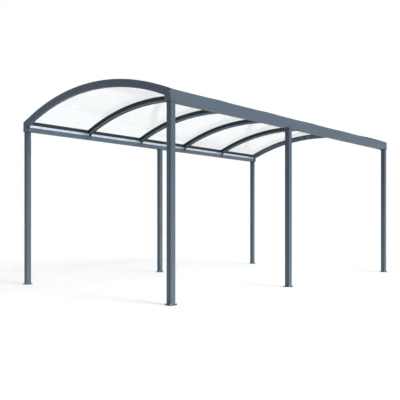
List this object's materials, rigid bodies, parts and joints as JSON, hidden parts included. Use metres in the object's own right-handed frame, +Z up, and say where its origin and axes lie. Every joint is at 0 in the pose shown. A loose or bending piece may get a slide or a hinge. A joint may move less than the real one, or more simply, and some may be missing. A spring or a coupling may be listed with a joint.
{
  "type": "carport",
  "caption": "Open carport on square posts, with deep eave gutters and a clear barrel roof on curved ribs.",
  "frame": {"origin": "on the ground, at the centre of the footprint", "axes": "+X across to the right-hand gutter, +Y along the roof to the back, +Z up"},
  "size_m": [2.826, 5.066, 2.445],
  "materials": {
    "slate_coat": "satin powder coat",
    "clear_sheet": "clear, faintly blue",
    "black_seal": "matt"
  },
  "bodies": {
    "root": {"post_front_left": "slate_coat", "post_middle_left": "slate_coat", "post_back_left": "slate_coat", "post_front_right": "slate_coat", "post_middle_right": "slate_coat", "post_back_right": "slate_coat", "foot_front_left": "slate_coat", "foot_middle_left": "slate_coat", "foot_back_left": "slate_coat", "foot_front_right": "slate_coat", "foot_middle_right": "slate_coat", "foot_back_right": "slate_coat", "head_front_left": "slate_coat", "head_middle_left": "slate_coat", "head_back_left": "slate_coat", "head_front_right": "slate_coat", "head_middle_right": "slate_coat", "head_back_right": "slate_coat", "gutter_left": "slate_coat", "gutter_right": "slate_coat", "gutter_cap_front_left": "slate_coat", "gutter_cap_back_left": "slate_coat", "gutter_cap_front_right": "slate_coat", "gutter_cap_back_right": "slate_coat", "arch_front": "slate_coat", "arch_back": "slate_coat", "rib_1": "slate_coat", "rib_2": "slate_coat", "rib_3": "slate_coat", "rib_4": "slate_coat", "roof_panel_1": "clear_sheet", "roof_panel_2": "clear_sheet", "roof_panel_3": "clear_sheet", "roof_panel_4": "clear_sheet", "roof_panel_5": "clear_sheet", "panel_seal_left": "black_seal", "panel_seal_right": "black_seal"}
  },
  "joints": []
}
